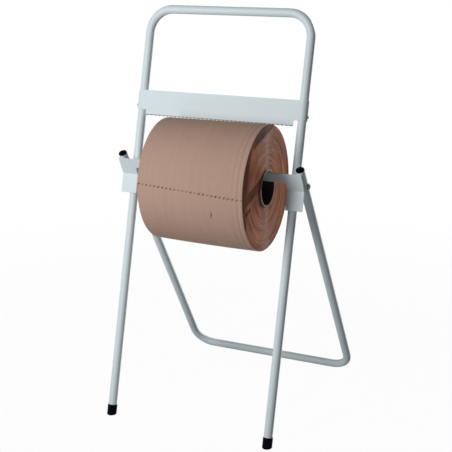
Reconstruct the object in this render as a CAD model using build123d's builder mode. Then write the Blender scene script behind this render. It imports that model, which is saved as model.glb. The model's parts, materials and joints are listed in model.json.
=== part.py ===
from build123d import *
import os
from math import atan2, cos, degrees, radians, sin, sqrt, tan

# Folding floor stand for a roll of wiping paper.
# +X is to the right, +Y to the back and +Z up. The floor is Z = 0, and the origin is on the floor in the
# middle of the stand's box. Lengths are in millimetres and angles in degrees.

# Steel tube of both frames
tube_diameter = 19.0
tube_wall = 1.5

# Front frame: an upside-down U that leans back, its top bar is the handle
frame_lean = 14.0
handle_rise = 183.0
top_bend = 52.0

# Rear frame: a U whose bar lies on the floor and whose legs run outside the front legs
stand_depth = 477.0
pivot_slant = 561.3
rear_tail = 46.0
rear_bend = 46.0

# Foot caps on the front legs
foot_wall = 1.2
foot_height = 22.3
foot_floor = 9.3
foot_fit = 0.05
foot_lip = 0.4

# End plugs in the upper ends of the rear frame
plug_head_inset = 0.3
plug_rim = 1.4
plug_dome = 4.2
plug_depth = 16.0
plug_fit = 0.05

# Pivot hardware on each side, listed from the outside inwards
bolt_head_diameter = 12.0
bolt_head_height = 2.2
bolt_head_rim = 0.8
bolt_socket_width = 4.0
bolt_socket_depth = 1.4
bolt_diameter = 6.0
bolt_fit = 0.1
bolt_tail = 1.2
running_fit = 0.05
washer_diameter = 14.0
washer_thickness = 0.8
pivot_play = 0.2
spacer_diameter = 16.0
spacer_thickness = 0.8
nut_width = 10.0
nut_height = 4.6
nut_collar_inset = 0.6
nut_collar_height = 1.4
nut_collar_round = 0.6

# Brackets of bent sheet at the crossing of the frames, each with an arm that carries the roll
bracket_sheet = 3.0
bracket_cover = 6.0
bracket_drop = 54.5
bracket_bend = 1.5
bracket_edge_round = 2.0
flange_depth = 10.0
flange_washer_gap = 3.0
flap_rise = 41.5
flap_relief = 6.5
arm_hold = 30.5
arm_height = 22.0
arm_tip_round = 4.0
arm_root_round = 3.0
weld_gap = 0.05
stop_gap = 0.3

# Tear bar with its serrated strip
tear_sheet = 1.5
tear_height = 43.0
tear_gap = 0.8
tear_wrap_angle = 112.0
tear_fit = 0.05
strip_drop = 12.9
strip_end_gap = 6.0
strip_overlap = 6.0
tooth_pitch = 10.0
tooth_depth = 1.4

# Screws through the wrapped ends of the tear bar
screw_diameter = 3.9
screw_head_diameter = 7.0
screw_head_height = 2.0
screw_head_rim = 0.8
screw_length = 9.0
screw_rise = 9.0
screw_fit = 0.1

# Paper roll and its cardboard core, with the room from each end of the roll to the leg beside it. The loose
# roll lies a little askew, with its right end further back
roll_diameter = 269.5
roll_width = 238.0
roll_room_left = 94.0
roll_room_right = 54.0
roll_yaw = 2.0
roll_edge_round = 1.2
core_diameter = 80.0
core_wall = 3.5
core_proud = 3.0
core_fit = 0.1
hang_gap = 0.3

# Sizes that follow
tube_radius = tube_diameter / 2
tube_bore = tube_radius - tube_wall
leg_x = (roll_room_left + roll_width + roll_room_right) / 2
rear_x = leg_x + tube_diameter + spacer_thickness + pivot_play
roll_left_x = roll_room_left - leg_x
roll_radius = roll_diameter / 2
roll_half = roll_width / 2
yaw = radians(roll_yaw)
core_radius = core_diameter / 2
core_bore = core_radius - core_wall
lean = radians(frame_lean)

# Side view of the crossing, as Y and Z counted from the front legs' floor line
pivot_back = pivot_slant * sin(lean)
pivot_up = pivot_slant * cos(lean)
rear_run = stand_depth - pivot_back
rear_rise = pivot_up - tube_radius
rear_length = sqrt(rear_run**2 + rear_rise**2)
rear_lean = atan2(rear_run, rear_rise)
fold_angle = degrees(lean + rear_lean)

# The roll hangs by the ends of its core on the arms' upper back edge
stop_distance = tube_radius + stop_gap
arm_edge_back = -stop_distance * cos(rear_lean) - flap_rise * sin(rear_lean)
arm_edge_up = -stop_distance * sin(rear_lean) + flap_rise * cos(rear_lean)
roll_back = pivot_back + arm_edge_back
roll_askew = (roll_half + core_proud) * tan(yaw)
roll_up = pivot_up + arm_edge_up - sqrt((core_bore - hang_gap) ** 2 - roll_askew**2)

# The tear bar's teeth stay just off the full roll's right end, and the handle stands above the bar
tear_inner = tube_radius + tear_fit
tear_outer = tear_inner + tear_sheet
roll_end_back = roll_back + roll_half * sin(yaw)
roll_slant = roll_up * cos(lean) + roll_end_back * sin(lean)
roll_forward = roll_up * sin(lean) - roll_end_back * cos(lean)
tear_edge_slant = roll_slant + sqrt((roll_radius + tear_gap) ** 2 - (roll_forward - tear_inner) ** 2)
tear_low_slant = tear_edge_slant + strip_drop
frame_slant = tear_low_slant + tear_height + handle_rise

# The origin is midway between the foremost and the rearmost point
rim_back = roll_back - (roll_half - roll_edge_round) * sin(yaw)
rim_front = rim_back - (roll_radius - roll_edge_round) * cos(yaw) - roll_edge_round
front_reach = min(rim_front, -tube_radius - foot_wall)
back_reach = stand_depth + tube_radius
feet_y = -(front_reach + back_reach) / 2

# Working planes. In the frame planes, local X runs across, local Y up the legs and local Z to the front
across = Vector(1, 0, 0)
leg_direction = Vector(0, sin(lean), cos(lean))
rear_direction = Vector(0, -sin(rear_lean), cos(rear_lean))
pivot = Vector(0, feet_y + pivot_back, pivot_up)
front_plane = Plane(origin=(0, feet_y, 0), x_dir=across, z_dir=across.cross(leg_direction))
rear_plane = Plane(origin=pivot, x_dir=across, z_dir=across.cross(rear_direction))


def on_front(x, slant, forward=0.0):
    """Point at a place across the front frame, a distance up its legs and a distance to its front."""
    return front_plane.from_local_coords(Vector(x, slant, forward))


def on_rear(x, rise, forward=0.0):
    """Point at a place across the rear frame, a distance up from the pivot and a distance to its front."""
    return rear_plane.from_local_coords(Vector(x, rise, forward))


def leg_section(x, slant):
    """Plane square to a front leg, with local Y to the back and local Z up the leg."""
    return Plane(origin=on_front(x, slant), x_dir=across, z_dir=leg_direction)


def cross_plane(x, point):
    """Plane square to the pivots at a place across, with local X to the back and local Y up."""
    return Plane(origin=(x, point.Y, point.Z), x_dir=(0, 1, 0), z_dir=across)


def save(part, name):
    """Label a finished piece and write it."""
    part.label = name
    export_step(part, f"parts/{name}.step")


def save_pair(right_part, name):
    """Write a right-hand piece and its mirror image on the left."""
    with BuildPart() as left_piece:
        mirror(right_part, about=Plane.YZ)
    save(left_piece.part, f"{name}_left")
    save(right_part, f"{name}_right")


os.makedirs("parts", exist_ok=True)

# Front frame: one bent tube, with a hole for the pivot bolt and one for the tear bar's screw in each leg
screw_point = on_front(0, tear_low_slant + screw_rise)

with BuildPart() as front_frame:
    with BuildLine(front_plane):
        FilletPolyline(
            (-leg_x, foot_floor),
            (-leg_x, frame_slant),
            (leg_x, frame_slant),
            (leg_x, foot_floor),
            radius=top_bend,
        )
    with BuildSketch(leg_section(-leg_x, foot_floor)):
        Circle(tube_radius)
        Circle(tube_bore, mode=Mode.SUBTRACT)
    sweep()
    with BuildSketch(cross_plane(0, pivot)):
        Circle(bolt_diameter / 2 + bolt_fit)
    extrude(amount=rear_x, both=True, mode=Mode.SUBTRACT)
    for side in (-1, 1):
        with BuildSketch(cross_plane(side * leg_x, screw_point)):
            Circle(screw_diameter / 2 + screw_fit)
        extrude(amount=side * tube_diameter, mode=Mode.SUBTRACT)
save(front_frame.part, "front_frame")

# Foot cap: a sleeve pushed on the leg's end, cut level with the floor
foot_radius = tube_radius + foot_fit + foot_wall
foot_round = foot_wall - foot_lip

with BuildPart() as front_foot:
    with BuildSketch(leg_section(leg_x, foot_height)):
        Circle(foot_radius)
    extrude(amount=-foot_height - foot_radius)
    with BuildSketch(leg_section(leg_x, foot_floor)):
        Circle(tube_radius + foot_fit)
    extrude(amount=foot_height, mode=Mode.SUBTRACT)
    split(bisect_by=Plane.XY, keep=Keep.TOP)
    rims = front_foot.edges().filter_by(GeomType.CIRCLE).group_by(Axis.Z)[-1]
    fillet(rims.sort_by(SortBy.LENGTH)[-1], radius=foot_round)
    chamfer(front_foot.edges().group_by(Axis.Z)[0], length=foot_round)
save_pair(front_foot.part, "front_foot")

# Rear frame: one bent tube, with a running hole for the pivot bolt in each leg
with BuildPart() as rear_frame:
    with BuildLine(rear_plane):
        FilletPolyline(
            (-rear_x, rear_tail),
            (-rear_x, -rear_length),
            (rear_x, -rear_length),
            (rear_x, rear_tail),
            radius=rear_bend,
        )
    with BuildSketch(Plane(origin=on_rear(-rear_x, rear_tail), x_dir=across, z_dir=rear_direction)):
        Circle(tube_radius)
        Circle(tube_bore, mode=Mode.SUBTRACT)
    sweep()
    with BuildSketch(cross_plane(0, pivot)):
        Circle(bolt_diameter / 2 + running_fit)
    extrude(amount=rear_x + tube_diameter, both=True, mode=Mode.SUBTRACT)
save(rear_frame.part, "rear_frame")

# End plug: a shank in the tube's bore under a low dome
plug_shank = tube_bore - plug_fit
plug_head = tube_radius - plug_head_inset
plug_crown = plug_dome - plug_rim
dome_radius = (plug_head**2 + plug_crown**2) / (2 * plug_crown)
dome_half = atan2(plug_head, dome_radius - plug_crown) / 2
dome_middle = (dome_radius * sin(dome_half), plug_dome - dome_radius * (1 - cos(dome_half)))
plug_plane = Plane(origin=on_rear(rear_x, rear_tail), x_dir=across, z_dir=rear_plane.z_dir)

with BuildPart() as rear_plug:
    with BuildSketch(plug_plane):
        with BuildLine():
            Polyline(
                (0, plug_dome),
                (0, -plug_depth),
                (plug_shank, -plug_depth),
                (plug_shank, 0),
                (plug_head, 0),
                (plug_head, plug_rim),
            )
            ThreePointArc((plug_head, plug_rim), dome_middle, (0, plug_dome))
        make_face()
    revolve(axis=Axis(plug_plane.origin, rear_direction))
save_pair(rear_plug.part, "rear_plug")

# Pivot bolt: a low head on the outer side, a plain shank through both tubes
washer_x = rear_x + tube_radius + pivot_play
head_x = washer_x + washer_thickness
spacer_x = leg_x + tube_radius
nut_washer_x = leg_x - tube_radius - washer_thickness
nut_x = nut_washer_x - nut_height - nut_collar_height
bolt_end_x = nut_x - bolt_tail

with BuildPart() as pivot_bolt:
    with BuildSketch(cross_plane(head_x, pivot)):
        Circle(bolt_head_diameter / 2)
    extrude(amount=bolt_head_height)
    fillet(pivot_bolt.edges().group_by(Axis.X)[-1], radius=bolt_head_height - bolt_head_rim)
    with BuildSketch(cross_plane(bolt_end_x, pivot)):
        Circle(bolt_diameter / 2)
    extrude(amount=head_x - bolt_end_x)
    with BuildSketch(cross_plane(head_x + bolt_head_height, pivot)):
        RegularPolygon(bolt_socket_width / 2, 6, major_radius=False)
    extrude(amount=-bolt_socket_depth, mode=Mode.SUBTRACT)
save_pair(pivot_bolt.part, "pivot_bolt")


def pivot_ring(x, diameter, thickness):
    """Flat ring round the pivot bolt, from a place across towards the outside."""
    with BuildPart() as ring:
        with BuildSketch(cross_plane(x, pivot)):
            Circle(diameter / 2)
            Circle(bolt_diameter / 2 + bolt_fit, mode=Mode.SUBTRACT)
        extrude(amount=thickness)
    return ring.part


# Washers under the bolt's head and its nut, and the spacer between the two tubes
save_pair(pivot_ring(washer_x, washer_diameter, washer_thickness), "pivot_head_washer")
save_pair(pivot_ring(spacer_x, spacer_diameter, spacer_thickness), "pivot_spacer")
save_pair(pivot_ring(nut_washer_x, washer_diameter, washer_thickness), "pivot_nut_washer")

# Lock nut on the inner side: a hexagon with a round collar
with BuildPart() as pivot_nut:
    with BuildSketch(cross_plane(nut_x, pivot)):
        Circle(nut_width / 2 - nut_collar_inset)
    extrude(amount=nut_collar_height)
    fillet(pivot_nut.edges().group_by(Axis.X)[0], radius=nut_collar_round)
    with BuildSketch(cross_plane(nut_x + nut_collar_height, pivot)):
        RegularPolygon(nut_width / 2, 6, major_radius=False)
    extrude(amount=nut_height)
    with BuildSketch(cross_plane(nut_x, pivot)):
        Circle(bolt_diameter / 2 + bolt_fit)
    extrude(amount=nut_height + nut_collar_height, mode=Mode.SUBTRACT)
save_pair(pivot_nut.part, "pivot_nut")

# Bracket: a plate on the front leg and a flap, bent from one sheet. The flap stands a little steeper than
# the rear tube and stops it with its upper edge, which runs on inwards as an arm into the roll's core
plate_distance = tube_radius + weld_gap
flap_lean = rear_lean - radians(flap_relief)
crossing = lean + flap_lean
leg_normal = Vector(-cos(lean), sin(lean))
leg_along = Vector(sin(lean), cos(lean))
flap_normal = Vector(-cos(flap_lean), -sin(flap_lean))
flap_along = Vector(-sin(flap_lean), cos(flap_lean))
flap_edge = Vector(arm_edge_back, arm_edge_up)
flap_distance = flap_edge.dot(flap_normal)
flap_top = flap_edge.dot(flap_along)
flap_plane = Plane(origin=pivot, x_dir=across, z_dir=(0, flap_normal.X, flap_normal.Y))
flap_back = flap_plane.offset(flap_distance)
bracket_inner_x = leg_x - tube_radius - weld_gap - bracket_sheet
bracket_outer_x = rear_x + bracket_cover
flange_top_drop = washer_diameter / 2 + flange_washer_gap
arm_tip_x = -roll_left_x - arm_hold
arm_low = flap_top - arm_height


def bracket_face(depth):
    """Lower end, bend and upper end of the sheet's face at a depth from its back, from the pivot."""
    plate = plate_distance + depth
    flap = flap_distance + depth
    plate_share = (plate - flap * cos(crossing)) / sin(crossing) ** 2
    flap_share = (flap - plate * cos(crossing)) / sin(crossing) ** 2
    lower_end = leg_normal * plate - leg_along * bracket_drop
    bend = leg_normal * plate_share + flap_normal * flap_share
    upper_end = flap_normal * flap + flap_along * flap_top
    return lower_end, bend, upper_end


back_face = bracket_face(0)
front_face = bracket_face(bracket_sheet)

with BuildPart() as bracket:
    with BuildSketch(cross_plane(bracket_inner_x, pivot)) as bracket_side:
        with BuildLine():
            Polyline(*back_face, *reversed(front_face), close=True)
        make_face()
        back_corner = bracket_side.vertices().sort_by_distance(back_face[1])[0]
        fillet(back_corner, radius=bracket_bend + bracket_sheet)
        front_corner = bracket_side.vertices().sort_by_distance(front_face[1])[0]
        fillet(front_corner, radius=bracket_bend)
    extrude(amount=bracket_outer_x - bracket_inner_x)
    with BuildSketch(front_plane.offset(plate_distance + bracket_sheet)):
        with Locations((bracket_inner_x, pivot_slant - bracket_drop)):
            Rectangle(bracket_sheet, bracket_drop - flange_top_drop, align=(Align.MIN, Align.MIN))
    extrude(amount=-bracket_sheet - flange_depth)
    inner_edges = bracket.edges().filter_by(lambda edge: edge.center().X < bracket_inner_x + weld_gap)
    upright_edges = inner_edges.filter_by(Axis((0, 0, 0), leg_direction))
    fillet(upright_edges.sort_by(Axis.Y)[0], radius=bracket_edge_round)
    with BuildSketch(flap_back) as arm_face:
        with BuildLine():
            Polyline(
                (bracket_outer_x, flap_top),
                (arm_tip_x, flap_top),
                (arm_tip_x, arm_low),
                (bracket_inner_x, arm_low),
                (bracket_inner_x, arm_low - arm_root_round),
                (bracket_outer_x, arm_low - arm_root_round),
                close=True,
            )
        make_face()
        fillet(arm_face.vertices().group_by(Axis.X)[0], radius=arm_tip_round)
    extrude(amount=bracket_sheet)
    with BuildSketch(flap_back):
        with BuildLine():
            Line((bracket_inner_x, arm_low), (bracket_inner_x - arm_root_round, arm_low))
            Line((bracket_inner_x, arm_low), (bracket_inner_x, arm_low - arm_root_round))
            root_centre = (bracket_inner_x - arm_root_round, arm_low - arm_root_round)
            CenterArc(root_centre, arm_root_round, 0, 90)
        make_face()
    extrude(amount=bracket_sheet)
save_pair(bracket.part, "bracket")

# Tear bar: a plate across the front legs, its ends wrapped round them, and a serrated strip below it
strip_half = leg_x - tube_radius - strip_end_gap
tooth_count = round(2 * strip_half / tooth_pitch)
tooth_step = 2 * strip_half / tooth_count
tear_front_turn = -90
tear_right_end = tear_front_turn + tear_wrap_angle
tear_left_end = tear_front_turn - tear_wrap_angle

strip_outline = [(strip_half, tear_low_slant + strip_overlap), (-strip_half, tear_low_slant + strip_overlap)]
for tooth in range(tooth_count):
    tooth_start = tooth * tooth_step - strip_half
    strip_outline.append((tooth_start, tear_edge_slant + tooth_depth))
    strip_outline.append((tooth_start + tooth_step / 2, tear_edge_slant))
strip_outline.append((strip_half, tear_edge_slant + tooth_depth))

with BuildPart() as tear_bar:
    with BuildSketch(leg_section(0, tear_low_slant)):
        with BuildLine():
            Line((-leg_x, -tear_outer), (leg_x, -tear_outer))
            right_outside = CenterArc((leg_x, 0), tear_outer, tear_front_turn, tear_wrap_angle)
            right_inside = CenterArc((leg_x, 0), tear_inner, tear_right_end, -tear_wrap_angle)
            Line(right_outside @ 1, right_inside @ 0)
            Line((leg_x, -tear_inner), (-leg_x, -tear_inner))
            left_inside = CenterArc((-leg_x, 0), tear_inner, tear_front_turn, -tear_wrap_angle)
            left_outside = CenterArc((-leg_x, 0), tear_outer, tear_left_end, tear_wrap_angle)
            Line(left_inside @ 1, left_outside @ 0)
        make_face()
    extrude(amount=tear_height)
    with BuildSketch(front_plane.offset(tear_inner)):
        with BuildLine():
            Polyline(*strip_outline, close=True)
        make_face()
    extrude(amount=tear_sheet)
    with BuildSketch(cross_plane(0, screw_point)):
        Circle(screw_diameter / 2 + screw_fit)
    extrude(amount=leg_x + tube_diameter, both=True, mode=Mode.SUBTRACT)
save(tear_bar.part, "tear_bar")

# Screw through each wrapped end of the tear bar into the leg
screw_seat_x = leg_x + tear_outer

with BuildPart() as tear_bar_screw:
    with BuildSketch(cross_plane(screw_seat_x, screw_point)):
        Circle(screw_head_diameter / 2)
    extrude(amount=screw_head_height)
    fillet(tear_bar_screw.edges().group_by(Axis.X)[-1], radius=screw_head_height - screw_head_rim)
    with BuildSketch(cross_plane(screw_seat_x, screw_point)):
        Circle(screw_diameter / 2)
    extrude(amount=-screw_length)
save_pair(tear_bar_screw.part, "tear_bar_screw")

# Cardboard core, which stands proud at the roll's right end, and the paper wound on it
roll_direction = Vector(cos(yaw), sin(yaw), 0)
roll_centre = Vector(roll_left_x + roll_half, feet_y + roll_back, roll_up)
roll_start = roll_centre - roll_direction * roll_half
roll_plane = Plane(origin=roll_start, x_dir=(-sin(yaw), cos(yaw), 0), z_dir=roll_direction)

with BuildPart() as roll_core:
    with BuildSketch(roll_plane):
        Circle(core_radius)
        Circle(core_bore, mode=Mode.SUBTRACT)
    extrude(amount=roll_width + core_proud)
save(roll_core.part, "roll_core")

with BuildPart() as paper_roll:
    with BuildSketch(roll_plane):
        Circle(roll_radius)
        Circle(core_radius + core_fit, mode=Mode.SUBTRACT)
    extrude(amount=roll_width)
    rims = paper_roll.edges().filter_by(GeomType.CIRCLE).group_by(SortBy.LENGTH)[-1]
    fillet(rims, radius=roll_edge_round)
save(paper_roll.part, "paper_roll")

# Places that the joints and the feet need
print("pivot", pivot)
print("roll centre", roll_centre)
print("feet line", feet_y)
print("angle between the frames", fold_angle)
print("rear leg below the pivot", rear_length)
roll_end = Vector(0, feet_y + roll_end_back, roll_up)
print("roll to tear edge", (on_front(0, tear_edge_slant, tear_inner) - roll_end).length - roll_radius)
print("lower edge of the tear bar above the pivot", tear_low_slant - pivot_slant)
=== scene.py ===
"""Folding floor stand with a roll of wiping paper: every piece's finish, the wound paper and the stage."""

import json
import math
from collections import namedtuple

import bpy
import numpy as np
from bpy.props import FloatProperty, FloatVectorProperty, IntProperty, PointerProperty
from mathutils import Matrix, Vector


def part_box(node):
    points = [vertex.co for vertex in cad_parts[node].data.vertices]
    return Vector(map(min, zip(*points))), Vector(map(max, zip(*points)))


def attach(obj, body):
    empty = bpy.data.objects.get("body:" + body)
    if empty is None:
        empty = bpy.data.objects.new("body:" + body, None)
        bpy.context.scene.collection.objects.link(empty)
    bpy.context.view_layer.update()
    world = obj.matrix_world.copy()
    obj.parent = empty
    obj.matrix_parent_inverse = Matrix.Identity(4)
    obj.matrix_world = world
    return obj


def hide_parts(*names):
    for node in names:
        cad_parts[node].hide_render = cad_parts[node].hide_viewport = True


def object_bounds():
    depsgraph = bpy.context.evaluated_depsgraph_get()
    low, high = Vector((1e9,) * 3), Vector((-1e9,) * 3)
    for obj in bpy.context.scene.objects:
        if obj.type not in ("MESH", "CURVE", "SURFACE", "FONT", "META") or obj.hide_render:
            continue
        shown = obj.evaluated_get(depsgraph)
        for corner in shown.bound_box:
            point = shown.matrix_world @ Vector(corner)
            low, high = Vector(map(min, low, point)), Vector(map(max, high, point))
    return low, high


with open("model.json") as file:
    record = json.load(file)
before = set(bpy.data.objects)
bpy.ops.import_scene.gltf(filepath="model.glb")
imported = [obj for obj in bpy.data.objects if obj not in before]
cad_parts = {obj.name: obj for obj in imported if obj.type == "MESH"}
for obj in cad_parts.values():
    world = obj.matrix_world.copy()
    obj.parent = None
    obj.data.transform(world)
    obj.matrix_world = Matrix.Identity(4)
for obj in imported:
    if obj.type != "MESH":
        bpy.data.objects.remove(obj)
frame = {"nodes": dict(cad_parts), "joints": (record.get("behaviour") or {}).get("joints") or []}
cad_low, cad_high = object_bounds()

bl_info = {
    "name": "Paper Roll Stand",
    "version": (1, 0, 0),
    "blender": (4, 5, 0),
    "location": "View3D > Sidebar > Roll Stand",
    "description": "Finishes, wound paper and stage for a folding floor stand with a paper roll",
    "category": "Add Mesh",
}

MILLIMETRE = 0.001
FULL_TURN = 2 * math.pi
WHITE = (1, 1, 1)

# Places taken from the frame
roll_joint = next(joint for joint in frame["joints"] if joint["name"] == "roll_spin")
roll_centre = Vector(roll_joint["pos_m"])
roll_direction = Vector(roll_joint["axis"])
paper_low, paper_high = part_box("paper_roll")
core_low, core_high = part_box("roll_core")
tear_bar_low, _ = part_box("tear_bar")
paper_radius = (paper_high.z - paper_low.z) / 2
core_radius = (core_high.z - core_low.z) / 2

# Lean of the front frame, which the tear bar follows
frame_lean = math.radians(14)

# Nodes of the frame by the finish that they get
painted_nodes = ("front_frame", "rear_frame", "bracket_left", "bracket_right")
plastic_nodes = ("front_foot_left", "front_foot_right", "rear_plug_left", "rear_plug_right")
zinc_kinds = ("pivot_bolt", "pivot_head_washer", "pivot_nut_washer", "pivot_nut", "tear_bar_screw")
zinc_nodes = tuple(f"{kind}_{side}" for kind in zinc_kinds for side in ("left", "right"))
nylon_nodes = ("pivot_spacer_left", "pivot_spacer_right")

# Creases and slits of the outer sheet: places from the roll's middle and lengths in millimetres, turns in
# degrees up from the front, and the slant as a shift along the roll for each length round it
Crease = namedtuple("Crease", "place turn half_width half_length slant depth")
CREASES = (
    Crease(place=49, turn=-15.4, half_width=1.3, half_length=7.0, slant=0.15, depth=1.3),
    Crease(place=-83, turn=-26.8, half_width=4.5, half_length=1.3, slant=0.3, depth=0.7),
    Crease(place=-20, turn=20.5, half_width=3.0, half_length=2.0, slant=0.5, depth=0.4),
    Crease(place=44, turn=73.6, half_width=3.5, half_length=2.0, slant=-0.4, depth=0.4),
)

# Grooves of the outer sheet along the right rim, in millimetres
Groove = namedtuple("Groove", "from_rim depth half_width")
GROOVES = (
    Groove(from_rim=9.5, depth=0.75, half_width=2.0),
    Groove(from_rim=21.5, depth=0.5, half_width=1.8),
    Groove(from_rim=34.0, depth=0.2, half_width=1.6),
)

# Columns of the wound ring: place along the roll, radius, share of the side's shape, and the end that a
# column is on, with +1 for the right end, -1 for the left and 0 for neither
Section = namedtuple("Section", "x radius on_side end")

# Teeth of the torn edge: how many, and for each column the tooth that it is in and how far through it
Teeth = namedtuple("Teeth", "count index share")


class FinishSettings(bpy.types.PropertyGroup):
    """Colours and surface of the stand's finishes."""

    paint_colour: FloatVectorProperty(
        name="Paint", description="Light blue-grey paint of tubes and sheet", subtype="COLOR",
        default=(0.69, 0.785, 0.82), min=0, max=1)
    paint_shade: FloatVectorProperty(
        name="Paint shade", description="Paint where it lies thin or is handled", subtype="COLOR",
        default=(0.58, 0.67, 0.71), min=0, max=1)
    paint_roughness: FloatProperty(
        name="Paint roughness", description="Roughness of the half gloss paint", subtype="FACTOR",
        default=0.48, min=0, max=1)
    steel_colour: FloatVectorProperty(
        name="Bare steel", description="Worn teeth of the tear bar", subtype="COLOR",
        default=(0.08, 0.082, 0.085), min=0, max=1)
    plastic_colour: FloatVectorProperty(
        name="Black plastic", description="Foot caps and end plugs", subtype="COLOR",
        default=(0.0016, 0.0019, 0.0022), min=0, max=1)
    plastic_dust: FloatVectorProperty(
        name="Plastic dust", description="Dust and scuffs on caps and plugs", subtype="COLOR",
        default=(0.008, 0.0085, 0.009), min=0, max=1)
    zinc_colour: FloatVectorProperty(
        name="Zinc", description="Bolts, washers, nuts and screws", subtype="COLOR",
        default=(0.112, 0.116, 0.12), min=0, max=1)
    zinc_shade: FloatVectorProperty(
        name="Zinc shade", description="Duller clouds of the plating", subtype="COLOR",
        default=(0.085, 0.082, 0.075), min=0, max=1)
    nylon_colour: FloatVectorProperty(
        name="Nylon", description="Spacers between the tubes", subtype="COLOR",
        default=(0.80, 0.79, 0.74), min=0, max=1)
    nylon_shade: FloatVectorProperty(
        name="Nylon shade", description="Mottle of the spacers", subtype="COLOR",
        default=(0.70, 0.68, 0.62), min=0, max=1)


class PaperSettings(bpy.types.PropertyGroup):
    """Colours and shape of the wound paper and its cardboard core."""

    side_colour: FloatVectorProperty(
        name="Paper side", description="Outer sheet of the roll", subtype="COLOR",
        default=(0.50, 0.335, 0.262), min=0, max=1)
    side_shade: FloatVectorProperty(
        name="Paper side shade", description="Darker streaks of the outer sheet", subtype="COLOR",
        default=(0.39, 0.25, 0.19), min=0, max=1)
    # Painted shade for the tooth holes, the torn step and the creases
    gap_shade_colour: FloatVectorProperty(
        name="Paper gaps", description="Torn fibres and open gaps of the sheet", subtype="COLOR",
        default=(0.06, 0.03, 0.02), min=0, max=1)
    end_colour: FloatVectorProperty(
        name="Paper ends", description="Cut edges of the wound layers", subtype="COLOR",
        default=(0.56, 0.225, 0.12), min=0, max=1)
    end_shade: FloatVectorProperty(
        name="Paper end shade", description="Darker rings of the wound layers", subtype="COLOR",
        default=(0.125, 0.032, 0.015), min=0, max=1)
    core_colour: FloatVectorProperty(
        name="Cardboard", description="Wound cardboard of the core", subtype="COLOR",
        default=(0.44, 0.33, 0.26), min=0, max=1)
    core_shade: FloatVectorProperty(
        name="Cardboard shade", description="Fibres and seam of the cardboard", subtype="COLOR",
        default=(0.24, 0.16, 0.11), min=0, max=1)
    # Painted shade on the core's inner wall, darker than its cardboard
    bore_shade_colour: FloatVectorProperty(
        name="Inner ply", description="Dark inner wall of the core", subtype="COLOR",
        default=(0.045, 0.036, 0.03), min=0, max=1)
    roll_width: FloatProperty(
        name="Roll width", description="Length of the roll along its axis", unit="LENGTH",
        default=238 * MILLIMETRE, min=0)
    sheet_step: FloatProperty(
        name="Sheet step", description="Height of the outer sheet's torn end", unit="LENGTH",
        default=0.5 * MILLIMETRE, min=0)
    torn_turn_left: FloatProperty(
        name="Torn edge, left", description="Turn of the torn edge from the front at the left end",
        unit="ROTATION", default=math.radians(7.0))
    torn_turn_right: FloatProperty(
        name="Torn edge, right", description="Turn of the torn edge from the front at the right end",
        unit="ROTATION", default=math.radians(0.5))
    tooth_pitch: FloatProperty(
        name="Tooth pitch", description="Spacing of the torn teeth", unit="LENGTH",
        default=9.3 * MILLIMETRE, min=0)
    tooth_depth: FloatProperty(
        name="Tooth depth", description="Depth of the torn teeth", unit="LENGTH",
        default=1.6 * MILLIMETRE, min=0)
    tooth_hole_depth: FloatProperty(
        name="Tooth hole depth", description="How far the bar's teeth pushed the sheet in", unit="LENGTH",
        default=1.3 * MILLIMETRE, min=0)
    slack_depth: FloatProperty(
        name="Slack depth", description="How far the lower left of the roll draws in", unit="LENGTH",
        default=5.5 * MILLIMETRE, min=0)
    layer_pitch: FloatProperty(
        name="Layer pitch", description="Spacing of the ridges on the roll's ends", unit="LENGTH",
        default=2.6 * MILLIMETRE, min=0)
    layer_depth: FloatProperty(
        name="Layer depth", description="Depth of the ridges on the roll's ends", unit="LENGTH",
        default=0.7 * MILLIMETRE, min=0)
    rows: IntProperty(name="Rows", description="Rows round the roll", default=200, min=16)
    side_columns: IntProperty(name="Side columns", description="Columns along the roll", default=280, min=8)
    end_columns: IntProperty(name="End columns", description="Columns across each end", default=85, min=8)


class StageSettings(bpy.types.PropertyGroup):
    """Camera, lamps and floor."""

    camera_place: FloatVectorProperty(
        name="Camera place", description="Where the camera stands", subtype="TRANSLATION",
        default=(0.98441, -2.08272, 1.03493))
    camera_turn: FloatProperty(
        name="Camera turn", description="Turn of the camera round the stand", unit="ROTATION",
        default=math.radians(25.57))
    camera_tilt: FloatProperty(
        name="Camera tilt", description="How far the camera looks down", unit="ROTATION",
        default=math.radians(15.15))
    camera_lens: FloatProperty(
        name="Lens", description="Focal length in millimetres", unit="CAMERA", default=82.86)
    floor_size: FloatProperty(
        name="Floor size", description="Side of the floor", unit="LENGTH", default=14.0)
    key_power: FloatProperty(
        name="Key power", description="Tall soft lamp at the front left", unit="POWER", default=31.0)
    back_strength: FloatProperty(
        name="Back strength", description="Small lamp behind the stand", default=3.0)
    room_strength: FloatProperty(
        name="Room strength", description="Even light of the room", default=0.02)


class Value:
    """A number in a material: a node's socket with the usual arithmetic, one Math node for each step."""

    def __init__(self, finish, socket):
        self.finish = finish
        self.socket = socket

    def math(self, operation, *others):
        """The result of a Math node on this value and others."""
        operands = dict(enumerate((self, *others)))
        return self.finish.value("ShaderNodeMath", {"operation": operation}, operands)

    def __add__(self, other):
        return self.math("ADD", other)

    def __sub__(self, other):
        return self.math("SUBTRACT", other)

    def __rsub__(self, other):
        return self.math("MULTIPLY", -1) + other

    def __mul__(self, other):
        return self.math("MULTIPLY", other)

    def __truediv__(self, other):
        return self.math("DIVIDE", other)

    def __pow__(self, other):
        return self.math("POWER", other)

    __radd__ = __add__
    __rmul__ = __mul__


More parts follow.
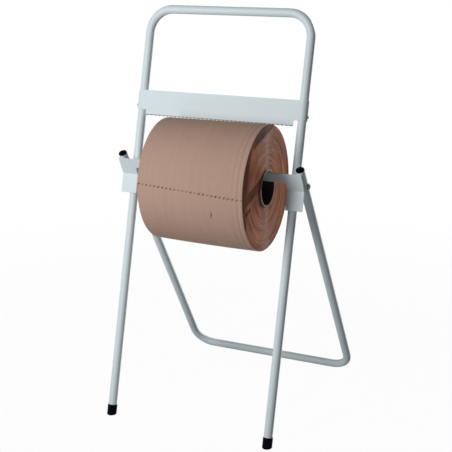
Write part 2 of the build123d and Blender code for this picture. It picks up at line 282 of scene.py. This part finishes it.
class Finish:
    """The nodes of a material or world under construction, with one method that adds any node."""

    def __init__(self, owner):
        owner.use_nodes = True
        self.owner = owner
        self.tree = owner.node_tree
        self.tree.nodes.clear()

    def feed(self, socket, given):
        """Link a socket to a value or another socket, or set it to a plain number or colour."""
        if isinstance(given, Value):
            given = given.socket
        if isinstance(given, bpy.types.NodeSocket):
            self.tree.links.new(given, socket)
        elif socket.type == "RGBA":
            socket.default_value = (*given, 1)
        else:
            socket.default_value = given

    def node(self, kind, settings=None, inputs=None):
        """Add a node of a kind, with its settings first and then its sockets' values or links."""
        made = self.tree.nodes.new(kind)
        for name, setting in (settings or {}).items():
            setattr(made, name, setting)
        for name, given in (inputs or {}).items():
            self.feed(made.inputs[name], given)
        return made

    def value(self, kind, settings=None, inputs=None, output=0):
        """Add a node and wrap one of its outputs."""
        return Value(self, self.node(kind, settings, inputs).outputs[output])

    def place(self):
        """The point's place on the piece, as a vector."""
        return self.node("ShaderNodeTexCoord").outputs["Object"]

    def split(self, vector):
        """The three numbers of a vector."""
        parts = self.node("ShaderNodeSeparateXYZ", inputs={0: vector})
        return [Value(self, part) for part in parts.outputs]

    def vector(self, x, y, z):
        """A vector made of three values or numbers."""
        return self.node("ShaderNodeCombineXYZ", inputs={0: x, 1: y, 2: z}).outputs[0]

    def stretch(self, vector, factors):
        """A vector with each part multiplied by its own factor."""
        settings = {"operation": "MULTIPLY"}
        return self.node("ShaderNodeVectorMath", settings, {0: vector, 1: factors}).outputs[0]

    def noise(self, vector, scale=1, detail=2, roughness=0.5):
        """Smooth noise from 0 to 1 with a number of features per unit of the vector."""
        inputs = {"Vector": vector, "Scale": scale, "Detail": detail, "Roughness": roughness}
        return self.value("ShaderNodeTexNoise", inputs=inputs)

    def ease(self, value, low, high):
        """0 below one level, 1 above another, with a smooth rise between."""
        settings = {"interpolation_type": "SMOOTHSTEP"}
        inputs = {"Value": value, "From Min": low, "From Max": high}
        return self.value("ShaderNodeMapRange", settings, inputs)

    def blend(self, factor, first, second):
        """A colour between two colours."""
        mixed = self.node("ShaderNodeMix", {"data_type": "RGBA"}, {0: factor, 6: first, 7: second})
        return mixed.outputs[2]

    def relief(self, height, distance):
        """Normals of a surface with a height from 0 to 1 times a distance in metres."""
        inputs = {"Height": height, "Strength": 1.0, "Distance": distance}
        return self.node("ShaderNodeBump", inputs=inputs).outputs[0]

    def mix(self, factor, first, second):
        """A shader between two shaders."""
        inputs = {0: factor, 1: first.outputs[0], 2: second.outputs[0]}
        return self.node("ShaderNodeMixShader", inputs=inputs)

    def surface(self, inputs):
        """Close a material with one main shader."""
        shader = self.node("ShaderNodeBsdfPrincipled", inputs=inputs)
        self.node("ShaderNodeOutputMaterial", inputs={"Surface": shader.outputs[0]})
        return self.owner


def new_finish(name):
    """An empty material to build a finish in."""
    return Finish(bpy.data.materials.new(name))


def settings_of(name):
    """One of the scene's groups of settings."""
    return getattr(bpy.context.scene, name)


def dress(names, material):
    """Give nodes of the frame a finish."""
    for name in names:
        frame["nodes"][name].material_slots[0].material = material


def paint_finish(name, worn_teeth=False):
    """Half gloss stove paint: faint clouds of tone, fine orange peel, small rubbed spots and dust low down.

    Worn teeth are the tear bar's lower edge, where the paint is gone and dark steel shows.
    """
    settings = settings_of("stand_finish")
    finish = new_finish(name)
    vector = finish.place()
    _, back, height = finish.split(vector)
    clouds = finish.noise(vector, scale=14, detail=3)
    peel = finish.noise(vector, scale=900)
    rubs = finish.ease(finish.noise(vector, scale=110, detail=4, roughness=0.7), low=0.66, high=0.8)
    floor_near = 1 - finish.ease(height, low=20 * MILLIMETRE, high=200 * MILLIMETRE)
    dust = floor_near * finish.noise(vector, scale=160, detail=4, roughness=0.7)
    cloud_share = 0.15
    rub_share = 0.25
    dust_share = 0.35
    shade = clouds * cloud_share + rubs * rub_share + dust * dust_share
    colour = finish.blend(shade, settings.paint_colour, settings.paint_shade)
    rub_roughness = 0.1
    dust_roughness = 0.15
    roughness = settings.paint_roughness + rubs * rub_roughness + dust * dust_roughness
    if worn_teeth:
        rise_back = (back - tear_bar_low.y) * math.sin(frame_lean)
        rise_up = (height - tear_bar_low.z) * math.cos(frame_lean)
        rise = rise_back + rise_up + clouds * MILLIMETRE
        wear = 1 - finish.ease(rise, low=2.0 * MILLIMETRE, high=4.2 * MILLIMETRE)
        colour = finish.blend(wear, colour, settings.steel_colour)
        wear_polish = 0.06
        roughness = roughness - wear * wear_polish
    return finish.surface({
        "Base Color": colour,
        "Roughness": roughness,
        "Specular IOR Level": 0.3,
        "Normal": finish.relief(peel, 0.03 * MILLIMETRE),
    })


def plastic_finish():
    """Moulded black plastic: fine matt grain, greyer where dust and scuffs catch."""
    settings = settings_of("stand_finish")
    finish = new_finish("black_plastic")
    vector = finish.place()
    _, _, height = finish.split(vector)
    grain = finish.noise(vector, scale=1500)
    scuffs = finish.ease(finish.noise(vector, scale=260, detail=4, roughness=0.7), low=0.55, high=0.75)
    floor_near = 1 - finish.ease(height, low=0.0, high=20 * MILLIMETRE)
    dust_share = 0.15
    dust = (floor_near + scuffs) * dust_share
    base_roughness = 0.5
    scuff_roughness = 0.2
    return finish.surface({
        "Base Color": finish.blend(dust, settings.plastic_colour, settings.plastic_dust),
        "Roughness": base_roughness + scuffs * scuff_roughness,
        "Specular IOR Level": 0.02,
        "Normal": finish.relief(grain, 0.05 * MILLIMETRE),
    })


def zinc_finish():
    """Dull zinc plating: a little cloudy, with fine turning marks round the pieces' axes."""
    settings = settings_of("stand_finish")
    finish = new_finish("zinc_plating")
    vector = finish.place()
    clouds = finish.noise(vector, scale=300, detail=3)
    mark_stretch = (6, 1, 1)
    marks = finish.noise(finish.stretch(vector, mark_stretch), scale=900)
    base_roughness = 0.36
    cloud_roughness = 0.16
    return finish.surface({
        "Base Color": finish.blend(clouds, settings.zinc_colour, settings.zinc_shade),
        "Metallic": 1.0,
        "Roughness": base_roughness + clouds * cloud_roughness,
        "Normal": finish.relief(marks, 0.02 * MILLIMETRE),
    })


def nylon_finish():
    """Natural nylon: milky, faintly mottled and fine grained."""
    settings = settings_of("stand_finish")
    finish = new_finish("natural_nylon")
    vector = finish.place()
    mottle = finish.noise(vector, scale=400, detail=3)
    grain = finish.noise(vector, scale=1800)
    base_roughness = 0.4
    mottle_roughness = 0.1
    return finish.surface({
        "Base Color": finish.blend(mottle, settings.nylon_colour, settings.nylon_shade),
        "Roughness": base_roughness + mottle * mottle_roughness,
        "Normal": finish.relief(grain, 0.03 * MILLIMETRE),
    })


def round_roll(finish):
    """A point's place along the roll, its distance from the roll's axis and its direction from it."""
    right, behind, above = finish.split(finish.place())
    right = right - roll_centre.x
    behind = behind - roll_centre.y
    along = right * roll_direction.x + behind * roll_direction.y
    back = behind * roll_direction.x - right * roll_direction.y
    up = above - roll_centre.z
    radius = (back * back + up * up) ** 0.5
    return along, radius, back / radius, up / radius


def wound_noise(finish, length, back, up, per_metre, round_scale, detail=2, roughness=0.5):
    """Noise with one scale along a length, the roll's axis or radius, and another round the roll."""
    vector = finish.vector(length * per_metre, back * round_scale, up * round_scale)
    return finish.noise(vector, detail=detail, roughness=roughness)


def core_finish():
    """Wound cardboard: a spiral seam, fibres along the winding, a pale cut end and painted shade on the
    inner wall.
    """
    settings = settings_of("stand_paper")
    finish = new_finish("wound_cardboard")
    along, radius, back, up = round_roll(finish)
    turn = up.math("ARCTAN2", back) / FULL_TURN
    ply_width = 90 * MILLIMETRE
    lane = (along / ply_width + turn).math("FRACT")
    seam = 1 - finish.ease(lane.math("PINGPONG", 0.5), low=0.004, high=0.016)
    fibres = wound_noise(finish, along, back, up, per_metre=260, round_scale=6, detail=4, roughness=0.6)
    plies = wound_noise(finish, radius, back, up, per_metre=2500, round_scale=1)
    fibre_share = 0.5
    seam_share = 0.5
    ply_share = 0.3
    shade = fibres * fibre_share + seam * seam_share + plies * ply_share
    board = finish.blend(shade, settings.core_colour, settings.core_shade)
    # Painted shade: the bore's inner wall turns near black past a depth
    depth = core_radius - radius
    inner = finish.ease(depth, low=3.0 * MILLIMETRE, high=3.4 * MILLIMETRE)
    return finish.surface({
        "Base Color": finish.blend(inner, board, settings.bore_shade_colour),
        "Roughness": 0.9,
        "Specular IOR Level": 0.1,
        "Normal": finish.relief(fibres - seam, 0.12 * MILLIMETRE),
    })


def hump(value, width):
    """1 where a value is nothing, falling smoothly past a width."""
    share = value / width
    return (share * share * -1).math("EXPONENT")


def tooth_hole_shade(finish, settings, along, back, up):
    """Painted shade in the holes that the bar's teeth left along the torn edge: a row of slanted dark
    marks, one to each tooth.

    Each mark is the product of two humps, one across and one along the mark, times a depth of its own. A
    faint line of painted shade under the torn step joins the marks.
    """
    turn = up.math("ARCTAN2", back * -1)
    edge_slope = (settings.torn_turn_right - settings.torn_turn_left) / settings.roll_width
    edge_middle = (settings.torn_turn_left + settings.torn_turn_right) / 2
    arc = (turn - (along * edge_slope + edge_middle)) * paper_radius
    place = along / settings.tooth_pitch
    tooth = place.math("FLOOR")
    off = (place - tooth - 0.5) * settings.tooth_pitch
    chance = finish.value("ShaderNodeTexWhiteNoise", {"noise_dimensions": "1D"}, {"W": tooth})
    slant = 0.7
    mark_width = 1.7 * MILLIMETRE
    mark_length = 2.9 * MILLIMETRE
    mark_lift = 0.4 * MILLIMETRE
    hole_shade = hump(off - arc * slant, mark_width) * hump(arc - mark_lift, mark_length)
    least_depth = 0.5
    chance_depth = 0.55
    line_width = 0.6 * MILLIMETRE
    line_depth = 0.15
    return hole_shade * (chance * chance_depth + least_depth) + hump(arc, line_width) * line_depth


def paper_side_finish():
    """Brown recycled paper: streaks round the roll, flecks of fibre, crepe, and painted shade in the tooth
    holes, along the torn edge and in the creases.
    """
    settings = settings_of("stand_paper")
    finish = new_finish("recycled_paper")
    vector = finish.place()
    along, _, back, up = round_roll(finish)
    streaks = wound_noise(finish, along, back, up, per_metre=420, round_scale=1.4, detail=4, roughness=0.65)
    bands = wound_noise(finish, along, back, up, per_metre=60, round_scale=0.8)
    crepe = wound_noise(finish, along, back, up, per_metre=90, round_scale=60, detail=3, roughness=0.6)
    flecks = finish.ease(finish.noise(vector, scale=900, detail=3, roughness=0.7), low=0.62, high=0.75)
    fuzz = finish.noise(vector, scale=1600, detail=3, roughness=0.6)
    streak_share = 0.9
    band_share = 0.3
    fleck_share = 0.25
    crepe_share = 0.25
    shade_offset = 0.42
    shade = streaks * streak_share + bands * band_share + flecks * fleck_share + crepe * crepe_share
    paper = finish.blend(shade - shade_offset, settings.side_colour, settings.side_shade)
    streak_height = 0.5
    fuzz_height = 0.35
    crepe_height = 0.3
    height = streaks * streak_height + fuzz * fuzz_height + crepe * crepe_height
    # Painted shade: the gap colour darkens the creases, the tooth holes and a line under the torn step
    crease = finish.value("ShaderNodeAttribute", {"attribute_name": "crease_shade_share"}, output="Fac")
    torn = tooth_hole_shade(finish, settings, along, back, up).math("MAXIMUM", crease)
    gap_shade = finish.ease(torn, low=0.0, high=1.0)
    base_roughness = 0.9
    fleck_polish = 0.05
    return finish.surface({
        "Base Color": finish.blend(gap_shade, paper, settings.gap_shade_colour),
        "Roughness": base_roughness - flecks * fleck_polish,
        "Specular IOR Level": 0.25,
        "Normal": finish.relief(height, 0.35 * MILLIMETRE),
    })


def paper_end_finish():
    """Cut edges of the wound layers: fine rings and rust-brown arcs, with a painted highlight above and
    below the bore.

    That highlight is a paler colour painted in two narrow sectors, standing in for the sheen of the cut
    edges.
    """
    settings = settings_of("stand_paper")
    finish = new_finish("paper_layers")
    _, radius, back, up = round_roll(finish)
    layers = wound_noise(finish, radius, back, up, per_metre=1100, round_scale=1.6, detail=4, roughness=0.7)
    rings = wound_noise(finish, radius, back, up, per_metre=190, round_scale=1.2)
    arcs = wound_noise(finish, radius, back, up, per_metre=70, round_scale=1.5)
    layer_share = 1.4
    ring_share = 1.3
    arc_share = 1.2
    shade_offset = 1.46
    shade = layers * layer_share + rings * ring_share + arcs * arc_share - shade_offset
    cut = finish.blend(shade, settings.end_colour, settings.end_shade)
    # Painted highlight: a paler colour in two sectors above and below the bore, for the sheen of the cut
    # edges
    sector_width = 0.18
    sector_wander = 0.3
    sheen_sector = hump(back - (arcs - 0.5) * sector_wander, sector_width)
    painted_sheen_share = 0.7
    painted_sheen = sheen_sector * finish.ease(layers, low=0.3, high=0.65) * painted_sheen_share
    base_roughness = 0.3
    layer_roughness = 0.1
    ring_height = 0.5
    return finish.surface({
        "Base Color": finish.blend(painted_sheen, cut, settings.side_colour),
        "Roughness": base_roughness + layers * layer_roughness,
        "Specular IOR Level": 0.04,
        "Normal": finish.relief(layers + rings * ring_height, 0.9 * MILLIMETRE),
    })


def closed_grid_mesh(name, points, column_slots):
    """Mesh of a grid of points whose rows and columns both close, with a material slot for each column."""
    rows, columns, _ = points.shape
    index = np.arange(rows * columns).reshape(rows, columns)
    next_row = np.roll(index, -1, axis=0)
    next_column = np.roll(index, -1, axis=1)
    corner = np.roll(next_row, -1, axis=1)
    quads = np.stack([index, next_row, corner, next_column], axis=-1).reshape(-1, 4)
    mesh = bpy.data.meshes.new(name)
    mesh.vertices.add(rows * columns)
    mesh.vertices.foreach_set("co", points.astype(np.float32).ravel())
    mesh.loops.add(quads.size)
    mesh.loops.foreach_set("vertex_index", quads.astype(np.int32).ravel())
    mesh.polygons.add(len(quads))
    mesh.polygons.foreach_set("loop_start", np.arange(0, quads.size, 4, dtype=np.int32))
    mesh.polygons.foreach_set("use_smooth", np.ones(len(quads), dtype=bool))
    mesh.polygons.foreach_set("material_index", np.tile(column_slots, rows).astype(np.int32))
    mesh.update(calc_edges=True)
    mesh.validate()
    return mesh


def store_share(mesh, name, share):
    """Keep a number from 0 to 1 on each point of a mesh."""
    layer = mesh.attributes.new(name, "FLOAT", "POINT")
    layer.data.foreach_set("value", share.astype(np.float32).ravel())


def add_piece(name, mesh, body, materials):
    """Put a new piece into the scene, on its body and with its finishes."""
    piece = bpy.data.objects.new(name, mesh)
    bpy.context.scene.collection.objects.link(piece)
    for material in materials:
        mesh.materials.append(material)
    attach(piece, body)
    return piece


def bell(distance, width):
    """1 at no distance, falling smoothly to nothing past the width."""
    return np.exp(-((distance / width) ** 2))


def roll_section(settings):
    """Closed outline of the wound ring's section, from the left rim over the side and round the bore.

    The side keeps the roll's radius, with closer columns in the last stretch before the right rim. Each rim
    is a quarter circle, each end runs in to the bore, and the bore runs back from right to left.
    """
    left = -settings.roll_width / 2
    right = settings.roll_width / 2
    rim = 1.2 * MILLIMETRE
    core_gap = 0.1 * MILLIMETRE
    rim_steps = 5
    bore_steps = 7
    fine_length = 45 * MILLIMETRE
    fine_columns = settings.side_columns // 3
    coarse_columns = settings.side_columns - fine_columns
    bore = core_radius + core_gap
    bend = np.linspace(0, math.pi / 2, rim_steps + 1)[1:-1]
    coarse_x = np.linspace(left + rim, right - fine_length, coarse_columns, endpoint=False)
    fine_x = np.linspace(right - fine_length, right - rim, fine_columns)
    side_x = np.concatenate([coarse_x, fine_x])
    end_radius = np.linspace(paper_radius - rim, bore, settings.end_columns)
    bore_x = np.linspace(right, left, bore_steps + 1)[1:-1]
    x = np.concatenate([
        side_x,
        right - rim + rim * np.sin(bend),
        np.full_like(end_radius, right),
        bore_x,
        np.full_like(end_radius, left),
        left + rim - rim * np.cos(bend),
    ])
    radius = np.concatenate([
        np.full_like(side_x, paper_radius),
        paper_radius - rim + rim * np.cos(bend),
        end_radius,
        np.full_like(bore_x, bore),
        end_radius[::-1],
        paper_radius - rim + rim * np.sin(bend),
    ])
    end = np.concatenate([
        np.zeros_like(side_x),
        np.zeros_like(bend),
        np.ones_like(end_radius),
        np.zeros_like(bore_x),
        -np.ones_like(end_radius),
        np.zeros_like(bend),
    ])
    side_depth = 4 * MILLIMETRE
    on_side = np.clip(1 - (paper_radius - radius) / side_depth, 0, 1)
    return Section(x, radius, on_side, end)


def row_shares(rows):
    """Each row's share of a full turn, from 0 to 1, crowded towards the torn edge at both ends.

    An even spread s becomes s - c * sin(2 pi s) / (2 pi), with a crowding c.
    """
    crowding = 0.95
    spread = np.arange(rows) / (rows - 1)
    share = spread - crowding * np.sin(FULL_TURN * spread) / FULL_TURN
    return share[:, None]


def count_teeth(settings, along):
    """The teeth of the torn edge, from each column's share of the way along the roll."""
    count = round(settings.roll_width / settings.tooth_pitch)
    place = along * count
    index = np.clip(np.floor(place).astype(int), 0, count - 1)
    return Teeth(count, index, place - index)


def tooth_holes(settings, teeth, arc, draw):
    """Depth from 0 to 1 of the holes that the bar's teeth pushed into the sheet along the torn edge.

    Each hole is the product of two bells, one across and one along its slant, times a drawn depth.
    """
    depth = draw.uniform(0.35, 1.0, teeth.count)
    shift = draw.uniform(-0.1, 0.1, teeth.count)
    slant = 0.45
    width = 1.3 * MILLIMETRE
    length = 2.0 * MILLIMETRE
    off = (teeth.share - 0.5 - shift[teeth.index]) * settings.tooth_pitch
    return bell(off - slant * arc, width) * bell(arc, length) * depth[teeth.index]


def crease_depth(x, turn):
    """Depth in millimetres of the creases: slanted bells at their places along and round the roll."""
    total = np.zeros_like(turn)
    for crease in CREASES:
        off_turn = (turn - math.radians(crease.turn) + math.pi) % FULL_TURN - math.pi
        up_arc = off_turn * paper_radius
        off_x = x - crease.place * MILLIMETRE - crease.slant * up_arc
        across = bell(off_x, crease.half_width * MILLIMETRE)
        round_side = bell(up_arc, crease.half_length * MILLIMETRE)
        total = total + across * round_side * crease.depth
    return total


def groove_depth(rim_distance, turn):
    """Depth of the grooves along the right rim: bells that wander by a sine of the turn."""
    wander = 0.8 * MILLIMETRE
    total = np.zeros_like(turn)
    for groove in GROOVES:
        off = rim_distance - groove.from_rim * MILLIMETRE + wander * np.sin(turn + groove.from_rim)
        total = total + groove.depth * MILLIMETRE * bell(off, groove.half_width * MILLIMETRE)
    return total


def end_ridges(settings, radius, turn, draw):
    """Depth of the ridges of the wound layers on the ends, a raised cosine over each layer pitch.

    Each ridge has a drawn size, and the rings wobble by two sines of the turn.
    """
    layer_count = math.ceil(paper_radius / settings.layer_pitch)
    size = draw.uniform(0.25, 1.0, layer_count + 2)
    slow_wobble = 0.35 * np.sin(turn + 0.7)
    quick_wobble = 0.2 * np.sin(2 * turn + 2.1)
    first_ridge = 0.6
    place = (paper_radius - radius) / settings.layer_pitch + first_ridge + (slow_wobble + quick_wobble)
    ridge = np.clip(np.floor(place).astype(int), 0, layer_count)
    return size[ridge] * (0.5 - 0.5 * np.cos(FULL_TURN * place)) * settings.layer_depth


def slack_depth(settings, section, turn):
    """How far the slack layers draw in: most at the lower left, by squares of the way across and out."""
    to_left = (0.5 - section.x / settings.roll_width) ** 2
    to_bottom = 0.5 - 0.5 * np.sin(turn)
    outwards = (section.radius / paper_radius) ** 2
    return settings.slack_depth * to_left * to_bottom * outwards


def paper_roll_shape(settings):
    """Wound paper ring with a torn outer sheet, pierced by a row of teeth, and ridged ends.

    A point at row share t and section place (x, r) lies at the turn torn_edge(x) + 2 pi t. Its radius is
    r - step * t on the side, so the surface is one sheet lower when it comes round to the torn edge, less
    the rim's grooves, the holes of the teeth, the creases and the slack. On the ends, x moves inwards by
    ridges that follow the radius.

    Returns the points, each point's share of painted shade in the creases, and which columns lie on the
    ends.
    """
    seed = 41
    draw = np.random.default_rng(seed)
    section = roll_section(settings)
    x, radius, on_side, end = section
    share = row_shares(settings.rows)

    # Torn edge: a straight line across the roll, with teeth of uneven depth
    along = x / settings.roll_width + 0.5
    straight = settings.torn_turn_left + (settings.torn_turn_right - settings.torn_turn_left) * along
    teeth = count_teeth(settings, along)
    tooth_size = draw.uniform(0.5, 1.0, teeth.count)
    tooth_arc = settings.tooth_depth * tooth_size[teeth.index] * np.abs(2 * teeth.share - 1)
    turn = straight + tooth_arc / paper_radius + FULL_TURN * share

    # Arc from the straight line of the torn edge, positive above it
    arc = (share - np.round(share)) * FULL_TURN * paper_radius + tooth_arc
    hole = tooth_holes(settings, teeth, arc, draw) * on_side
    crease = crease_depth(x, turn) * on_side
    groove = groove_depth(settings.roll_width / 2 - x, turn) * on_side * (end == 0)
    ridges = end_ridges(settings, radius, turn, draw) * end

    reach = radius - slack_depth(settings, section, turn) - (settings.sheet_step * share + groove) * on_side
    reach = reach - settings.tooth_hole_depth * hole - MILLIMETRE * crease
    out = x - ridges
    back = -reach * np.cos(turn)
    points = np.stack([
        roll_centre.x + out * roll_direction.x - back * roll_direction.y,
        roll_centre.y + out * roll_direction.y + back * roll_direction.x,
        roll_centre.z + reach * np.sin(turn),
    ], axis=-1)
    # Painted shade in the creases: a share of the gap colour that grows with each crease's depth
    shade_per_crease_depth = 0.75
    crease_shade_share = np.clip(crease * shade_per_crease_depth, 0, 1)
    on_end = (end != 0) & (np.roll(end, -1) != 0)
    return points, crease_shade_share, on_end


class STAND_OT_paint(bpy.types.Operator):
    """Paint the tube frames, the brackets and the tear bar"""

    bl_idname = "roll_stand.paint"
    bl_label = "Painted steel"

    def execute(self, context):
        dress(painted_nodes, paint_finish("stove_paint"))
        dress(("tear_bar",), paint_finish("tear_bar_paint", worn_teeth=True))
        return {"FINISHED"}


class STAND_OT_plastic(bpy.types.Operator):
    """Finish the black foot caps and end plugs"""

    bl_idname = "roll_stand.plastic"
    bl_label = "Caps and plugs"

    def execute(self, context):
        dress(plastic_nodes, plastic_finish())
        return {"FINISHED"}


class STAND_OT_hardware(bpy.types.Operator):
    """Finish the zinc-plated hardware and the nylon spacers"""

    bl_idname = "roll_stand.hardware"
    bl_label = "Bolts, screws and spacers"

    def execute(self, context):
        dress(zinc_nodes, zinc_finish())
        dress(nylon_nodes, nylon_finish())
        return {"FINISHED"}


class STAND_OT_core(bpy.types.Operator):
    """Finish the roll's cardboard core"""

    bl_idname = "roll_stand.core"
    bl_label = "Cardboard core"

    def execute(self, context):
        dress(("roll_core",), core_finish())
        return {"FINISHED"}


class STAND_OT_paper(bpy.types.Operator):
    """Wind the paper on its core, with a torn outer edge and ridged ends"""

    bl_idname = "roll_stand.paper"
    bl_label = "Paper roll"

    def execute(self, context):
        points, crease_shade_share, on_end = paper_roll_shape(settings_of("stand_paper"))
        mesh = closed_grid_mesh("wound_paper", points, on_end)
        store_share(mesh, "crease_shade_share", crease_shade_share)
        finishes = (paper_side_finish(), paper_end_finish())
        piece = add_piece("wound_paper", mesh, "roll", finishes)
        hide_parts("paper_roll")
        return {"FINISHED"}


def seen_by_eye(finish):
    """1 for what the camera sees, straight, in a reflection or through glass, and 0 for other light."""
    sight = finish.node("ShaderNodeLightPath")
    seen = Value(finish, sight.outputs["Is Camera Ray"])
    for ray in ("Is Glossy Ray", "Is Transmission Ray"):
        seen = seen.math("MAXIMUM", sight.outputs[ray])
    return seen


def floor_finish():
    """Pale floor: nearly all the white behind it to the eye, with a share of shadow that fades outwards.

    It lets light through, so the rear bar, which folds below the feet, stays in sight.
    """
    finish = new_finish("pale_floor")
    across, back, _ = finish.split(finish.place())
    distance = (across * across + back * back) ** 0.5
    floor_tone = (0.44, 0.44, 0.44)
    shadow_share = 0.03
    shadow_start = 0.6
    shadow_end = 2.0
    fade = finish.ease(distance, low=shadow_start, high=shadow_end)
    white_share = 1 - shadow_share + fade * shadow_share
    shadow_ray = finish.value("ShaderNodeLightPath", output="Is Shadow Ray")
    clearness = (seen_by_eye(finish) * white_share).math("MAXIMUM", shadow_ray)
    pale = finish.node("ShaderNodeBsdfDiffuse", inputs={"Color": floor_tone})
    clear = finish.node("ShaderNodeBsdfTransparent", inputs={"Color": WHITE})
    mixed = finish.mix(clearness, pale, clear)
    finish.node("ShaderNodeOutputMaterial", inputs={"Surface": mixed.outputs[0]})
    return finish.owner


def room_light(strength):
    """Even light from all round, seen as plain white by the camera and in reflections."""
    finish = Finish(bpy.data.worlds.new("room"))
    even = finish.node("ShaderNodeBackground", inputs={"Color": WHITE, "Strength": strength})
    white = finish.node("ShaderNodeBackground", inputs={"Color": WHITE, "Strength": 1.0})
    mixed = finish.mix(seen_by_eye(finish), even, white)
    finish.node("ShaderNodeOutputWorld", inputs={"Surface": mixed.outputs[0]})
    bpy.context.scene.world = finish.owner


def direction(turn, tilt):
    """Unit vector from the stand towards a turn round it and a height above the horizon."""
    return Vector((math.sin(turn) * math.cos(tilt), -math.cos(turn) * math.cos(tilt), math.sin(tilt)))


def add_aimed(name, data, place, towards):
    """Put a lamp or camera into the scene at a place, looking back along a direction."""
    thing = bpy.data.objects.new(name, data)
    bpy.context.scene.collection.objects.link(thing)
    thing.location = place
    thing.rotation_mode = "QUATERNION"
    thing.rotation_quaternion = (-towards).to_track_quat("-Z", "Y")
    return thing


def key_lamp(power):
    """Tall soft lamp at the front left, near enough to fall off to the right."""
    lamp = bpy.data.lights.new("key_lamp", "AREA")
    lamp.energy = power
    lamp.shape = "RECTANGLE"
    lamp.size = 0.5
    lamp.size_y = 1.9
    towards = direction(turn=math.radians(-15), tilt=math.radians(23.5))
    distance = 1.95
    shift_left = Vector((-0.12, 0, 0))
    target = (cad_low + cad_high) / 2 + shift_left
    add_aimed("key_lamp", lamp, target + towards * distance, towards)


def back_lamp(strength):
    """Small far lamp behind the stand, which grazes the roll's right end."""
    lamp = bpy.data.lights.new("back_lamp", "SUN")
    lamp.energy = strength
    lamp.angle = math.radians(1.5)
    towards = Vector((1.0, 3.45, 0.95))
    add_aimed("back_lamp", lamp, (0, 0, 0), towards)


def add_floor(size):
    """Square floor just under the feet."""
    half = size / 2
    floor_drop = 0.2 * MILLIMETRE
    corners = [(-half, -half), (half, -half), (half, half), (-half, half)]
    mesh = bpy.data.meshes.new("floor")
    mesh.from_pydata([(x, y, -floor_drop) for x, y in corners], [], [(0, 1, 2, 3)])
    mesh.materials.append(floor_finish())
    floor = bpy.data.objects.new("floor", mesh)
    bpy.context.scene.collection.objects.link(floor)


class STAND_OT_stage(bpy.types.Operator):
    """Set the floor, the lamps and the camera"""

    bl_idname = "roll_stand.stage"
    bl_label = "Stage"

    def execute(self, context):
        settings = settings_of("stand_stage")
        add_floor(settings.floor_size)
        room_light(settings.room_strength)
        key_lamp(settings.key_power)
        back_lamp(settings.back_strength)

        lens = bpy.data.cameras.new("camera")
        lens.lens = settings.camera_lens
        lens.sensor_width = 36
        towards = direction(settings.camera_turn, settings.camera_tilt)
        context.scene.camera = add_aimed("camera", lens, settings.camera_place, towards)
        context.scene.view_settings.view_transform = "Standard"
        return {"FINISHED"}


class STAND_PT_panel(bpy.types.Panel):
    """Sidebar panel with the stand's steps in order and its settings"""

    bl_idname = "STAND_PT_panel"
    bl_label = "Paper roll stand"
    bl_space_type = "VIEW_3D"
    bl_region_type = "UI"
    bl_category = "Roll Stand"

    def draw(self, context):
        for operator in OPERATORS:
            self.layout.operator(operator.bl_idname)
        for name, group in SETTINGS.items():
            box = self.layout.box()
            for key in group.__annotations__:
                box.prop(getattr(context.scene, name), key)


SETTINGS = {"stand_finish": FinishSettings, "stand_paper": PaperSettings, "stand_stage": StageSettings}
OPERATORS = (
    STAND_OT_paint,
    STAND_OT_plastic,
    STAND_OT_hardware,
    STAND_OT_core,
    STAND_OT_paper,
    STAND_OT_stage,
)
CLASSES = (*SETTINGS.values(), *OPERATORS, STAND_PT_panel)


def register():
    """Make the classes and the settings known to Blender."""
    for kind in CLASSES:
        bpy.utils.register_class(kind)
    for name, group in SETTINGS.items():
        setattr(bpy.types.Scene, name, PointerProperty(type=group))


def unregister():
    """Take the settings and the classes away again."""
    for name in SETTINGS:
        delattr(bpy.types.Scene, name)
    for kind in reversed(CLASSES):
        bpy.utils.unregister_class(kind)


def main():
    """Build everything in order."""
    register()
    bpy.ops.roll_stand.paint()
    bpy.ops.roll_stand.plastic()
    bpy.ops.roll_stand.hardware()
    bpy.ops.roll_stand.core()
    bpy.ops.roll_stand.paper()
    bpy.ops.roll_stand.stage()


if __name__ == "__main__":
    main()
